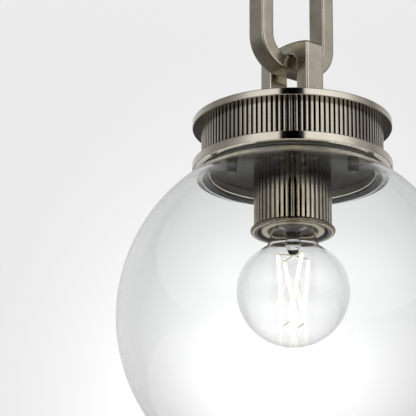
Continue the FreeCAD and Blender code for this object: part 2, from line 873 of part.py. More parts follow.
def bulb_stem():
    """Glass stem: flare in the neck, tube, bead round the lead wires and pinched end."""
    low = bulb_z + stem_tip
    high = cap_low_z - 0.5
    flare = neck_radius - bulb_wall - stem_flare_gap
    outline = [
        (0, low),
        (stem_radius * 0.7, low + 0.6),
        (stem_radius, low + 3.0),
        (stem_radius + 0.6, low + 4.6),
        (stem_bead, low + 6.0),
        (stem_bead, low + 8.0),
        (stem_radius + 0.8, low + 9.5),
        (stem_radius + 0.8, high - 6.0),
        (flare - 3.0, high - 2.5),
        (flare, high),
        (0, high),
    ]
    return [turned(outline)]


def filament_ends(index):
    angle = filament_first_angle + index * 360.0 / filament_count
    top = polar(filament_top_circle, angle, bulb_z + filament_top)
    bottom = polar(filament_bottom_circle, angle + filament_twist, bulb_z + filament_bottom)
    return top, bottom


def bulb_filaments():
    solids = []
    for i in range(filament_count):
        top, bottom = filament_ends(i)
        solids.append(rod(top, bottom, filament_radius))
    return solids


def bulb_wires():
    """Lead wires from the stem to each filament's top, and links round their lower ends."""
    solids = []
    lift = filament_radius + wire_radius + wire_gap
    hub = bulb_z + stem_tip - wire_gap - wire_radius
    for i in range(filament_count):
        top = filament_ends(i)[0]
        near = at(top.x * hub_share, top.y * hub_share, hub)
        solids.append(rod(near, at(top.x, top.y, top.z + wire_gap + wire_radius), wire_radius))
    for i in range(0, filament_count, 2):
        bottom = filament_ends(i)[1]
        other = filament_ends(i + 1)[1]
        drop = at(0, 0, -lift)
        solids.append(rod(bottom + drop, other + drop, wire_radius))
    return solids


NODES = {
    "mounting_strap": lambda: [mounting_strap()],
    "canopy_studs": canopy_studs,
    "stud_nuts": stud_nuts,
    "ground_screw": ground_screw,
    "canopy_rim": canopy_rim,
    "canopy_band": canopy_band,
    "canopy_face": canopy_face,
    "canopy_knobs": canopy_knobs,
    "canopy_gland": canopy_gland,
    "canopy_gland_nut": canopy_gland_nut,
    "canopy_yoke": lambda: [canopy_yoke()],
    "canopy_yoke_screws": lambda: yoke_screws(canopy_face_z + canopy_web, False),
    "lamp_yoke": lambda: [lamp_yoke()],
    "lamp_yoke_screws": lambda: yoke_screws(collar_top_z - collar_web, True),
    "collar_top": collar_top,
    "collar_band": collar_band,
    "collar_gallery": collar_gallery,
    "fitter_plate": fitter_plate,
    "lamp_nipple": lamp_nipple,
    "lamp_washer": lamp_washer,
    "lamp_top_nut": lamp_top_nut,
    "lamp_bottom_nut": lamp_bottom_nut,
    "lamp_bush": lamp_bush,
    "socket_cup": socket_cup,
    "cup_strap": cup_strap,
    "cup_screws": cup_screws,
    "terminal_screws": terminal_screws,
    "lampholder_body": lampholder_body,
    "screw_shell": screw_shell,
    "centre_contact": centre_contact,
    "glass_gasket": glass_gasket,
    "globe": globe,
    "tab_spacers": tab_spacers,
    "tab_screws": tab_screws,
    "bulb_envelope": bulb_envelope,
    "bulb_cap": bulb_cap,
    "bulb_insulator": bulb_insulator,
    "bulb_tip": bulb_tip,
    "bulb_stem": bulb_stem,
    "bulb_filaments": bulb_filaments,
    "bulb_wires": bulb_wires,
}
for number in range(link_count):
    NODES[f"link_{number + 1}"] = lambda number=number: [chain_link(number)]
for number in range(tab_count):
    NODES[f"tab_{number + 1}"] = lambda number=number: tab(number)

os.makedirs("parts", exist_ok=True)
for name, make in NODES.items():
    solids = make()
    for solid in solids:
        if not solid.isValid() or solid.Volume <= 0 or len(solid.Solids) != 1:
            raise ValueError(f"{name} is not one valid solid")
    shape = solids[0] if len(solids) == 1 else Part.makeCompound(solids)
    shape.exportStep(f"parts/{name}.step")
    box = shape.BoundBox
    print(f"{name}: {box.XLength:.1f} x {box.YLength:.1f} x {box.ZLength:.1f}, "
          f"z {box.ZMin:.1f} to {box.ZMax:.1f}, {shape.Volume / 1000:.2f} cm3")
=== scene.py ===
import math
import bmesh
import bpy
from mathutils import Matrix, Vector


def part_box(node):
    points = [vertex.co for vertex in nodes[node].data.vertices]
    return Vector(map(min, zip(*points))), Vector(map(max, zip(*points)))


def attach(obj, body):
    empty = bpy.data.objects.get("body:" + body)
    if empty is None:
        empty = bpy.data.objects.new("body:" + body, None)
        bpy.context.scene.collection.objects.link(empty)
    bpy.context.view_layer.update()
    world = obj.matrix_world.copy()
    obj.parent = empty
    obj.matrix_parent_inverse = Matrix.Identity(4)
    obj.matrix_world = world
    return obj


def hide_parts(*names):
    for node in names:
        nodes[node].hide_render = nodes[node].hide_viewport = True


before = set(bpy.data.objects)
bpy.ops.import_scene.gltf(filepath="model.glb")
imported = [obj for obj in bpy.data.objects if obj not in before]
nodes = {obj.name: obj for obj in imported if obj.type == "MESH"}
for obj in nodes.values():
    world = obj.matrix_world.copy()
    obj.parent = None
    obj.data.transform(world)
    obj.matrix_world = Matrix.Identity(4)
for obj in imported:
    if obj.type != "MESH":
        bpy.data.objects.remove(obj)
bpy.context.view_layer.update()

mm = 0.001
weldGap = 1e-6  # metres: points closer than this are one
print("frame loaded:", len(nodes), "nodes")


def hexColour(text):  # sRGB hex to linear
    channels = [int(text[i:i + 2], 16) / 255 for i in (0, 2, 4)]
    linear = [c / 12.92 if c <= 0.04045 else ((c + 0.055) / 1.055) ** 2.4 for c in channels]
    return (*linear, 1.0)


def newMaterial(name):
    material = bpy.data.materials.new(name)
    material.use_nodes = True
    material.node_tree.nodes.clear()
    return material, material.node_tree


def addNode(tree, kind, links=None, **settings):  # links: input name or index -> output socket or value
    node = tree.nodes.new(kind)
    for key, value in settings.items():
        setattr(node, key, value)
    for key, value in (links or {}).items():
        if isinstance(value, bpy.types.NodeSocket):
            tree.links.new(value, node.inputs[key])
        else:
            node.inputs[key].default_value = value
    return node


def fillRamp(tree, source, stops):  # stops: (position, linear colour)
    node = addNode(tree, "ShaderNodeValToRGB", {0: source})
    elements = node.color_ramp.elements
    while len(elements) < len(stops):
        elements.new(0.5)
    for element, (position, colour) in zip(elements, stops):
        element.position = position
        element.color = colour
    return node.outputs[0]


def ramp(tree, source, stops):  # stops: (position, hex colour)
    return fillRamp(tree, source, [(position, hexColour(text)) for position, text in stops])


def mapRange(tree, source, fromMin, fromMax, toMin, toMax):
    node = addNode(tree, "ShaderNodeMapRange", {0: source, 1: fromMin, 2: fromMax, 3: toMin, 4: toMax})
    return node.outputs[0]


def polarCoords(tree):  # radius, height and turn about the lamp's axis, so that brushing follows the lathe
    place = addNode(tree, "ShaderNodeTexCoord").outputs["Object"]
    parts = addNode(tree, "ShaderNodeSeparateXYZ", {0: place})
    flat = addNode(tree, "ShaderNodeCombineXYZ", {0: parts.outputs[0], 1: parts.outputs[1]})
    radius = addNode(tree, "ShaderNodeVectorMath", {0: flat.outputs[0]}, operation="LENGTH")
    turn = addNode(tree, "ShaderNodeMath", {0: parts.outputs[1], 1: parts.outputs[0]}, operation="ARCTAN2")
    return place, radius.outputs["Value"], parts.outputs[2], turn.outputs[0]


def deselectAll():
    if bpy.context.object and bpy.context.object.mode == "EDIT":
        bpy.ops.object.mode_set(mode="OBJECT")
    bpy.ops.object.select_all(action="DESELECT")


def makeActive(obj):
    bpy.context.view_layer.objects.active = obj
    obj.select_set(True)


def openEdit(obj):
    makeActive(obj)
    bpy.ops.object.mode_set(mode="EDIT")
    bpy.ops.mesh.select_mode(type="VERT")


def closeEdit():
    bpy.ops.object.mode_set(mode="OBJECT")


def selectSharp(degrees):  # in edit mode: select the edges where faces meet at more than this
    bpy.ops.mesh.select_mode(type="EDGE")
    bpy.ops.mesh.select_all(action="DESELECT")
    bpy.ops.mesh.edges_select_sharp(sharpness=math.radians(degrees))


def arc(x, z, radius, first, last, steps):  # points of a round stretch, angles in degrees
    turns = [math.radians(first + (last - first) * i / steps) for i in range(steps + 1)]
    return [(x + radius * math.cos(t), z + radius * math.sin(t)) for t in turns]


def drawPath(name, points):  # a run of edges through points given in mm
    deselectAll()
    bpy.ops.mesh.primitive_plane_add(size=mm)
    obj = bpy.context.object
    obj.name = name
    openEdit(obj)
    bpy.ops.mesh.select_all(action="SELECT")
    bpy.ops.mesh.merge(type="CENTER")
    places = [Vector(point) * mm for point in points]
    bpy.ops.transform.translate(value=places[0])
    for before, after in zip(places, places[1:]):
        bpy.ops.mesh.extrude_region_move(TRANSFORM_OT_translate={"value": after - before})
    bpy.ops.mesh.select_all(action="SELECT")
    return obj


def lathe(name, outline, steps, closed=True):  # outline in mm: (radius, height)
    points = [(r, 0, z) for r, z in outline]
    obj = drawPath(name, points + points[:1] if closed else points)
    bpy.ops.mesh.spin(steps=steps, angle=2 * math.pi, center=(0, 0, 0), axis=(0, 0, 1))
    bpy.ops.mesh.select_all(action="SELECT")
    bpy.ops.mesh.remove_doubles(threshold=weldGap)
    bpy.ops.mesh.normals_make_consistent(inside=False)
    closeEdit()
    return obj


def drawFace(name, outline):  # a flat face in XY with this outline in mm
    points = [(x, y, 0) for x, y in outline]
    obj = drawPath(name, points + points[:1])
    bpy.ops.mesh.remove_doubles(threshold=weldGap)
    bpy.ops.mesh.select_all(action="SELECT")
    bpy.ops.mesh.edge_face_add()
    bpy.ops.mesh.select_all(action="SELECT")
    return obj


def finishBar(obj, thickness, bevel, upright, turnZ, place):  # flat face in XY -> bevelled bar in place
    bpy.ops.mesh.extrude_region_move(TRANSFORM_OT_translate={"value": (0, 0, thickness * mm)})
    bpy.ops.mesh.select_all(action="SELECT")
    bpy.ops.transform.translate(value=(0, 0, -thickness * mm / 2))
    bpy.ops.mesh.normals_make_consistent(inside=False)
    selectSharp(60)
    bpy.ops.mesh.bevel(affect="EDGES", offset=bevel * mm, segments=4, profile=0.5)
    closeEdit()
    turned = Matrix.Rotation(math.radians(turnZ), 4, "Z")
    if upright:
        turned = turned @ Matrix.Rotation(math.radians(90), 4, "X")
    obj.data.transform(Matrix.Translation(Vector(place) * mm) @ turned)
    return obj


def joinPieces(first, *others):
    deselectAll()
    for obj in (first, *others):
        obj.select_set(True)
    bpy.context.view_layer.objects.active = first
    bpy.ops.object.join()
    return first


def smooth(obj, degrees):
    deselectAll()
    makeActive(obj)
    bpy.ops.object.shade_smooth_by_angle(angle=math.radians(degrees))


def applyModifier(obj, kind, **settings):
    deselectAll()
    makeActive(obj)
    modifier = obj.modifiers.new(kind.title(), kind)
    for key, value in settings.items():
        setattr(modifier, key, value)
    bpy.ops.object.modifier_apply(modifier=modifier.name)


def keepPiece(obj, body, slot, material, *replaced, angle=35, flats=True):
    smooth(obj, angle)
    if flats:  # big flat faces keep their own normal, so the rounded edges catch the light cleanly
        applyModifier(obj, "WEIGHTED_NORMAL", weight=80, keep_sharp=True)
    obj.data.materials.clear()
    obj.data.materials.append(material)
    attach(obj, body)
    if replaced:
        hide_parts(*replaced)
    return obj


def spanOf(node):  # lowest and highest corner in mm
    low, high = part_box(node)
    return low / mm, high / mm


camera = {
    "azimuth": -39.96, "elevation": -16.86,  # from the bulb's middle to the camera, seen from below
    "distance": 1.872, "lens": 229.4,
    "lookAzimuth": -38.71, "lookElevation": -18.74,
    "shiftX": -0.0722, "shiftY": -0.0089, "sensor": 36.0,
}


def skyward(azimuth, elevation):
    a, e = math.radians(azimuth), math.radians(elevation)
    return Vector((math.sin(a) * math.cos(e), -math.cos(a) * math.cos(e), math.sin(e)))


def addCamera(values):
    low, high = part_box("bulb_envelope")
    bulbMiddle = Vector((0, 0, low.z + (high.x - low.x) / 2))
    data = bpy.data.cameras.new("mainCamera")
    data.lens = values["lens"]
    data.sensor_width = values["sensor"]
    data.shift_x = values["shiftX"]
    data.shift_y = values["shiftY"]
    data.clip_start = 0.01
    obj = bpy.data.objects.new("mainCamera", data)
    obj.location = bulbMiddle + skyward(values["azimuth"], values["elevation"]) * values["distance"]
    look = skyward(values["lookAzimuth"], values["lookElevation"])
    obj.rotation_euler = look.to_track_quat("Z", "Y").to_euler()
    bpy.context.scene.collection.objects.link(obj)
    bpy.context.scene.camera = obj


studio = {
    "floorDrop": 1.6,       # metres from the ceiling down to the floor
    "floorSize": 12.0, "floorColour": "F4F4F2", "floorRoughness": 0.8,
    "backdrop": 0.80, "backdropTop": 0.84,
    "backdropRise": 17.0, "backdropTopRise": 23.0,  # degrees up at which the top's tone begins and is reached
    "glow": 0.42, "glowAzimuth": 140.7, "glowElevation": 14.5, "glowSpread": 2.7,  # lit patch of the backdrop
    "coneInner": 28.0, "coneOuter": 46.0,  # degrees from the line of sight that glass shows the backdrop
    "softboxGain": 1.28,    # strength of the room that metal mirrors
    "softLight": 0.9,       # even light on dull surfaces
    "backFrom": 135.0, "backTo": 165.0,  # degrees of turn over which backRises takes over from roomRises
    "aimHeight": -0.6,      # metres: height on the lamp's axis that the softboxes face
}

softboxes = {  # azimuth and elevation in degrees, distance, width and height in metres, watts
    "leftSoftbox": (-100, 25, 1.6, 0.5, 1.4, 14),
    "rightSoftbox": (20, 22, 1.6, 0.5, 1.4, 14),
    "topSoftbox": (-40, 75, 1.8, 1.4, 1.4, 12),
}

# what polished metal mirrors round the lamp, by turn from the camera: dark gap, two softboxes, dim sides,
# then by rise above the level, for the room and for the part of it behind the lamp
roomTurns = [(-180, 0.68), (-130, 0.46), (-104, 0.25), (-80, 0.26), (-62, 0.42), (-46, 0.80), (-28, 0.86),
             (-15, 0.86), (-13, 0.0), (13, 0.0), (15, 0.97), (46, 1.0), (66, 0.82), (80, 0.46),
             (104, 0.25), (130, 0.42), (180, 0.6)]
roomRises = [(-90, 0.03), (-60, 0.1), (-38, 0.4), (-18, 0.5), (-4, 0.7), (8, 0.95), (16, 1.0), (28, 0.85),
             (42, 0.35), (90, 0.15)]
backRises = [(-90, 0.01), (-45, 0.03), (-12, 0.08), (2, 0.5), (12, 1.0), (22, 0.9), (40, 0.2), (90, 0.1)]


def greyRamp(tree, source, stops, low, high):  # stops: (place between low and high, linear grey)
    greys = [((place - low) / (high - low), (value, value, value, 1)) for place, value in stops]
    return fillRamp(tree, mapRange(tree, source, low, high, 0, 1), greys)


def dotWith(tree, vector, fixed):
    dot = addNode(tree, "ShaderNodeVectorMath", {0: vector, 1: fixed}, operation="DOT_PRODUCT")
    return dot.outputs["Value"]


def mathNode(tree, operation, *values):
    return addNode(tree, "ShaderNodeMath", dict(enumerate(values)), operation=operation).outputs[0]


def addWorld(values):
    world = bpy.data.worlds.new("studioWorld")
    bpy.context.scene.world = world
    world.use_nodes = True
    tree = world.node_tree
    tree.nodes.clear()
    way = addNode(tree, "ShaderNodeTexCoord").outputs["Generated"]
    front = skyward(camera["azimuth"], 0)
    side = skyward(camera["azimuth"] + 90, 0)
    degrees = 180 / math.pi
    rise = mathNode(tree, "ARCSINE", dotWith(tree, way, Vector((0, 0, 1))))
    turn = mathNode(tree, "ARCTAN2", dotWith(tree, way, side), dotWith(tree, way, front))
    rise = mathNode(tree, "MULTIPLY", rise, degrees)
    turn = mathNode(tree, "MULTIPLY", turn, degrees)
    around = greyRamp(tree, turn, roomTurns, -180, 180)
    behind = mapRange(tree, mathNode(tree, "ABSOLUTE", turn), values["backFrom"], values["backTo"], 0, 1)
    height = addNode(tree, "ShaderNodeMix", {0: behind, 2: greyRamp(tree, rise, roomRises, -90, 90),
                                             3: greyRamp(tree, rise, backRises, -90, 90)}).outputs[0]
    gain = mathNode(tree, "MULTIPLY", height, values["softboxGain"])
    room = mathNode(tree, "MULTIPLY", around, gain)
    glowWay = skyward(values["glowAzimuth"], values["glowElevation"])
    off = mathNode(tree, "SUBTRACT", dotWith(tree, way, glowWay), 1.0)
    glow = mathNode(tree, "EXPONENT", mathNode(tree, "DIVIDE", off, math.radians(values["glowSpread"]) ** 2))
    glow = mathNode(tree, "MULTIPLY", glow, values["glow"])
    plain = mapRange(tree, rise, values["backdropRise"], values["backdropTopRise"], values["backdrop"],
                     values["backdropTop"])
    backdrop = mathNode(tree, "ADD", plain, glow)
    sight = dotWith(tree, way, skyward(camera["lookAzimuth"], camera["lookElevation"]) * -1)
    cone = mapRange(tree, sight, math.cos(math.radians(values["coneOuter"])),
                    math.cos(math.radians(values["coneInner"])), 0, 1)
    path = addNode(tree, "ShaderNodeLightPath")
    throughGlass = mathNode(tree, "MULTIPLY", path.outputs["Is Transmission Ray"], cone)
    seen = mathNode(tree, "MAXIMUM", path.outputs["Is Camera Ray"], throughGlass)
    soft = mathNode(tree, "MULTIPLY", path.outputs["Is Diffuse Ray"], values["softLight"])
    roomOrSoft = addNode(tree, "ShaderNodeMix", {0: path.outputs["Is Diffuse Ray"], 2: room, 3: soft})
    strength = addNode(tree, "ShaderNodeMix", {0: seen, 2: roomOrSoft.outputs[0], 3: backdrop})
    ground = addNode(tree, "ShaderNodeBackground", {0: hexColour("FFFFFF"), 1: strength.outputs[0]})
    addNode(tree, "ShaderNodeOutputWorld", {0: ground.outputs[0]})


def addSoftbox(name, azimuth, elevation, distance, width, height, power):
    data = bpy.data.lights.new(name, "AREA")
    data.shape = "RECTANGLE"
    data.size = width
    data.size_y = height
    data.energy = power
    obj = bpy.data.objects.new(name, data)
    out = skyward(azimuth, elevation)
    obj.location = Vector((0, 0, studio["aimHeight"])) + out * distance
    obj.rotation_euler = out.to_track_quat("Z", "Y").to_euler()
    for ray in ("visible_camera", "visible_transmission", "visible_glossy"):
        setattr(obj, ray, False)
    bpy.context.scene.collection.objects.link(obj)


def plainMaterial(name, colour, roughness):
    material, tree = newMaterial(name)
    place = addNode(tree, "ShaderNodeTexCoord").outputs["Object"]
    cloud = addNode(tree, "ShaderNodeTexNoise", {"Vector": place, "Scale": 2.0})
    tone = mapRange(tree, cloud.outputs[0], 0, 1, roughness - 0.04, roughness + 0.04)
    shader = addNode(tree, "ShaderNodeBsdfPrincipled", {"Base Color": hexColour(colour), "Roughness": tone})
    addNode(tree, "ShaderNodeOutputMaterial", {0: shader.outputs[0]})
    return material


def addFloor(values):
    deselectAll()
    bpy.ops.mesh.primitive_plane_add(size=values["floorSize"], location=(0, 0, -values["floorDrop"]))
    floor = bpy.context.object
    floor.name = "studioFloor"
    paper = plainMaterial("palePaperSweep", values["floorColour"], values["floorRoughness"])
    floor.data.materials.append(paper)
    floor.visible_glossy = False


addCamera(camera)
addWorld(studio)
for name, numbers in softboxes.items():
    addSoftbox(name, *numbers)
addFloor(studio)
view = bpy.context.scene.view_settings
view.view_transform = "Standard"
print("camera, light and floor placed")


brushing = {"contrast": 0.25, "cloudSize": 22, "bump": 0.08, "anisotropy": 0.85}  # cloudSize in mm


def brushedMetal(name, base, dark, roughness, along="turned", rim=None, grain=0.35, groove=None):
    # Nickel plate brushed with fine abrasive: soft streaks along the brushing, a brown cast where the tone
    # dips, and near-black in the grooves of the reeds: partly antique patina, partly painted shade in the
    # slots.
    # groove: (crest radius, depth) in mm.
    material, tree = newMaterial(name)
    place, radius, height, turn = polarCoords(tree)
    if along == "turned":
        slow = mathNode(tree, "MULTIPLY", turn, 0.004)
        streakPlace = addNode(tree, "ShaderNodeCombineXYZ", {0: radius, 1: height, 2: slow}).outputs[0]
    else:
        streakPlace = addNode(tree, "ShaderNodeMapping", {0: place, 3: (1, 1, 0.02)}).outputs[0]
    streak = addNode(tree, "ShaderNodeTexNoise", {"Vector": streakPlace, "Scale": 1 / (grain * mm),
                                                  "Detail": 3.0, "Roughness": 0.6}).outputs[0]
    cloud = addNode(tree, "ShaderNodeTexNoise",
                    {"Vector": place, "Scale": 1 / (brushing["cloudSize"] * mm), "Detail": 4.0}).outputs[0]
    tone = addNode(tree, "ShaderNodeMix", {0: brushing["contrast"], 2: cloud, 3: streak}).outputs[0]
    colour = ramp(tree, tone, [(0.32, dark), (0.56, base), (0.8, base)])
    # near-black towards the bottom of each reed slot: painted shade in the hollows, partly antique patina
    if groove:
        crest, depth = groove
        grooveShadeShare = mapRange(tree, radius, (crest - depth * 0.4) * mm, (crest - 0.11) * mm, 0, 1)
        grooveShadeAndPatina = addNode(tree, "ShaderNodeMix", {0: grooveShadeShare, 6: hexColour("0E0C09"), 7: colour},
                         data_type="RGBA")
        colour = grooveShadeAndPatina.outputs[2]
    if rim:  # a lip standing out past the reeds is coloured a darker grey-brown
        rimShare = mapRange(tree, radius, (groove[0] + 0.2) * mm, (groove[0] + 1.0) * mm, 0, 1)
        lipTone = addNode(tree, "ShaderNodeMix", {0: rimShare, 6: colour, 7: hexColour(rim)}, data_type="RGBA")
        colour = lipTone.outputs[2]
    rough = mapRange(tree, streak, 0.3, 0.7, roughness - 0.03, roughness + 0.03)
    shaded = mapRange(tree, cloud, 0.35, 0.65, -0.02, 0.02)
    roughSum = mathNode(tree, "ADD", rough, shaded)
    bump = addNode(tree, "ShaderNodeBump",
                   {"Height": streak, "Strength": brushing["bump"], "Distance": 0.01 * mm})
    links = {"Base Color": colour, "Metallic": 1.0, "Roughness": roughSum, "Normal": bump.outputs[0]}
    if along == "turned":  # grooves run round the piece, so highlights smear up and down it
        spin = addNode(tree, "ShaderNodeVectorMath", {0: place, 1: Vector((0, 0, -1))},
                       operation="CROSS_PRODUCT").outputs[0]
        world = addNode(tree, "ShaderNodeVectorTransform", {0: spin}, vector_type="VECTOR",
                        convert_from="OBJECT", convert_to="WORLD").outputs[0]
        links.update({"Anisotropic": brushing["anisotropy"], "Anisotropic Rotation": 0.25, "Tangent": world})
    shader = addNode(tree, "ShaderNodeBsdfPrincipled", links)
    addNode(tree, "ShaderNodeOutputMaterial", {0: shader.outputs[0]})
    return material


def clearGlass(name, tint, bubble, clearZ, greyZ):
    # Blown soda-lime glass: clear, a hair grey towards the top between two heights (in mm), very slightly
    # wavy.
    material, tree = newMaterial(name)
    place = addNode(tree, "ShaderNodeTexCoord").outputs["Object"]
    wave = addNode(tree, "ShaderNodeTexNoise", {"Vector": place, "Scale": 1 / (bubble * mm), "Detail": 1.0})
    bump = addNode(tree, "ShaderNodeBump", {"Height": wave.outputs[0], "Strength": 0.02,
                                            "Distance": 0.05 * mm})
    height = addNode(tree, "ShaderNodeSeparateXYZ", {0: place}).outputs[2]
    greyShare = mapRange(tree, height, clearZ * mm, greyZ * mm, 0.0, 0.9)
    shade = mathNode(tree, "ADD", greyShare, mathNode(tree, "MULTIPLY", wave.outputs[0], 0.1))
    colour = ramp(tree, shade, [(0.0, "FFFFFF"), (1.0, tint)])
    shader = addNode(tree, "ShaderNodeBsdfPrincipled",
                     {"Base Color": colour, "Roughness": 0.0, "IOR": 1.45, "Transmission Weight": 1.0,
                      "Normal": bump.outputs[0]})
    addNode(tree, "ShaderNodeOutputMaterial", {0: shader.outputs[0]})
    return material


def glazedPorcelain(name):
    # Cream glaze over porcelain: glossy, with small warm specks and pooled tone.
    material, tree = newMaterial(name)
    place = addNode(tree, "ShaderNodeTexCoord").outputs["Object"]
    cloud = addNode(tree, "ShaderNodeTexNoise", {"Vector": place, "Scale": 1 / (6 * mm), "Detail": 5.0})
    colour = ramp(tree, cloud.outputs[0], [(0.3, "B9A684"), (0.55, "CDBD9C"), (0.8, "D8CBB0")])
    bump = addNode(tree, "ShaderNodeBump", {"Height": cloud.outputs[0], "Strength": 0.1,
                                            "Distance": 0.05 * mm})
    shader = addNode(tree, "ShaderNodeBsdfPrincipled",
                     {"Base Color": colour, "Roughness": 0.22, "Coat Weight": 0.4, "Normal": bump.outputs[0]})
    addNode(tree, "ShaderNodeOutputMaterial", {0: shader.outputs[0]})
    return material


def moulded(name, low, high, roughness, grit):
    # Moulded plastic or rubber: fine even grit from the mould and a slight tone drift.
    material, tree = newMaterial(name)
    place = addNode(tree, "ShaderNodeTexCoord").outputs["Object"]
    fine = addNode(tree, "ShaderNodeTexNoise", {"Vector": place, "Scale": 1 / (grit * mm), "Detail": 3.0})
    colour = ramp(tree, fine.outputs[0], [(0.35, low), (0.65, high)])
    rough = mapRange(tree, fine.outputs[0], 0.3, 0.7, roughness - 0.06, roughness + 0.06)
    bump = addNode(tree, "ShaderNodeBump", {"Height": fine.outputs[0], "Strength": 0.15,
                                            "Distance": 0.04 * mm})
    shader = addNode(tree, "ShaderNodeBsdfPrincipled",
                     {"Base Color": colour, "Roughness": rough, "Normal": bump.outputs[0]})
    addNode(tree, "ShaderNodeOutputMaterial", {0: shader.outputs[0]})
    return material


def litFilament(name):
    # Phosphor-coated chip strip, lit: warm white, a little deeper between the chips every 1.2 mm.
    material, tree = newMaterial(name)
    place = addNode(tree, "ShaderNodeTexCoord").outputs["Object"]
    chips = addNode(tree, "ShaderNodeTexWave", {"Vector": place, "Scale": 0.5 / (1.2 * mm) / 10,
                                                "Distortion": 0.0}, bands_direction="Z")
    colour = ramp(tree, chips.outputs["Fac"], [(0.0, "FFD9A0"), (1.0, "FFF3DC")])
    shader = addNode(tree, "ShaderNodeBsdfPrincipled",
                     {"Base Color": hexColour("FFE2B0"), "Roughness": 0.5, "Emission Color": colour,
                      "Emission Strength": 3.0})
    addNode(tree, "ShaderNodeOutputMaterial", {0: shader.outputs[0]})
    return material


# each metal: colour, colour where the tone dips, roughness
turnedNickel = brushedMetal("turnedAntiqueNickel", "DBD4C6", "C6BEAE", 0.16)
barNickel = brushedMetal("linishedAntiqueNickel", "CBC3B3", "A89F8C", 0.22, along="bar", grain=0.5)
reedNickel = brushedMetal("reededAntiqueNickel", "C4BDB0", "A39B8A", 0.2, along="bar", groove=(65.5, 1.5))
canopyReedNickel = brushedMetal("canopyReededNickel", "DAD3C5", "B8AF9D", 0.2, along="bar",
                                groove=(59.5, 1.5))
cupNickel = brushedMetal("cupAntiqueNickel", "CBBFA9", "A09179", 0.2, along="bar", groove=(28.0, 1.0),
                         rim="6E6454")
yokeNickel = brushedMetal("yokeAntiqueNickel", "DDD6C7", "BDB4A2", 0.22, along="bar", grain=0.5)
buttonNickel = brushedMetal("darkenedNickel", "4E4B45", "38352F", 0.34, along="bar")
# near-black plate colour for the fitter plate, the underside inside the globe
darkUndersideNickel = brushedMetal("darkUndersidePlate", "2C2B29", "1B1A18", 0.34)
zincSteel = brushedMetal("zincPlatedSteel", "C4C6C6", "9FA1A2", 0.34, along="bar")
greenSteel = brushedMetal("greenDyedSteel", "3F8A57", "2C6B40", 0.40, along="bar")
rolledBrass = brushedMetal("rolledBrass", "D9B36C", "A8823F", 0.26)
capNickel = brushedMetal("nickelPlatedCap", "D8D5CD", "B2AEA4", 0.22)
globeGlass = clearGlass("blownSodaLimeGlass", "F8F9F9", bubble=40, clearZ=-700, greyZ=-580)
bulbGlass = clearGlass("thinBulbGlass", "FAFBFB", bubble=25, clearZ=-640, greyZ=-590)
porcelain = glazedPorcelain("creamGlazedPorcelain")
blackNylon = moulded("blackNylon", "141414", "1E1E1D", roughness=0.45, grit=0.5)
blackVitrite = moulded("blackVitrite", "0B0B0C", "131314", roughness=0.12, grit=1.0)
siliconeRubber = moulded("siliconeRubber", "565650", "62625C", roughness=0.5, grit=0.8)
filamentLight = litFilament("phosphorFilamentLit")
leadWire = brushedMetal("nickelIronWire", "B9A77E", "6E5F43", 0.3, along="bar")
print("materials made")


link = {"bar": 11.0, "corner": 25.0, "bevel": 1.8}  # mm here and below, angles in degrees


def makeLink(name, values):
    low, high = spanOf(name)
    size = high - low
    flat = max(size.x, size.y)
    deselectAll()
    bpy.ops.mesh.primitive_plane_add(size=mm)
    obj = bpy.context.object
    obj.name = name.replace("_", "")
    openEdit(obj)
    bpy.ops.mesh.select_all(action="SELECT")
    bpy.ops.transform.resize(value=(flat, size.z, 1))
    bpy.ops.mesh.bevel(affect="VERTICES", offset=values["corner"] * mm, segments=16)
    bpy.ops.mesh.select_mode(type="FACE")
    bpy.ops.mesh.select_all(action="SELECT")
    bpy.ops.mesh.inset(thickness=values["bar"] * mm, depth=0)
    bpy.ops.mesh.delete(type="FACE")
    bpy.ops.mesh.select_all(action="SELECT")
    turnZ = 0 if size.x > size.y else 90
    return finishBar(obj, min(size.x, size.y), values["bevel"], True, turnZ, (low + high) / 2)


# corner: inside the opening, tight enough to leave the link room to swing
yoke = {"leg": 12.5, "opening": 49.2, "dome": 4.0, "corner": 9.0, "bevel": 1.9}


def makeYoke(name, values, flip):
    low, high = spanOf(name)
    half = (high.y - low.y) / 2
    height = high.z - low.z
    inner = half - values["leg"]
    domeRadius = (half ** 2 + values["dome"] ** 2) / (2 * values["dome"])
    reach = math.degrees(math.asin(half / domeRadius))
    outline = [(half, 0)]
    outline += arc(0, height - domeRadius, domeRadius, 90 - reach, 90 + reach, 24)
    outline += [(-half, 0), (-inner, 0)]
    rise = values["opening"] - values["corner"]
    bend = inner - values["corner"]
    outline += arc(-bend, rise, values["corner"], 180, 90, 10)
    outline += arc(bend, rise, values["corner"], 90, 0, 10)
    outline += [(inner, 0)]
    way = -1 if flip else 1
    obj = drawFace(name.replace("_", ""), [(x, way * y) for x, y in outline])
    feet = high.z if flip else low.z
    return finishBar(obj, high.x - low.x, values["bevel"], True, 90, (0, 0, feet))


for number in (1, 2, 3):
    node = f"link_{number}"
    keepPiece(makeLink(node, link), node, "antique_nickel", barNickel, node)
keepPiece(makeYoke("canopy_yoke", yoke, True), "canopy", "antique_nickel", yokeNickel, "canopy_yoke")
keepPiece(makeYoke("lamp_yoke", yoke, False), "lamp", "antique_nickel", yokeNickel, "lamp_yoke")
print("chain made")


plates = {"edge": 0.8, "web": 2.0, "webCorner": 1.0, "rimWidth": 9.0, "nippleHole": 5.3, "galleryBore": 60.0,
          "canopyBore": 55.0, "steps": 192}
reeds = {"pitch": 3.74, "share": 0.56, "crown": 0.1, "depth": 1.5, "wall": 2.4, "canopyWall": 3.0,
         "cupDepth": 1.0}


def rimCorners(radius, low, high, edge):
    corners = arc(radius - edge, low + edge, edge, -90, 0, 5)
    return corners + arc(radius - edge, high - edge, edge, 0, 90, 5)


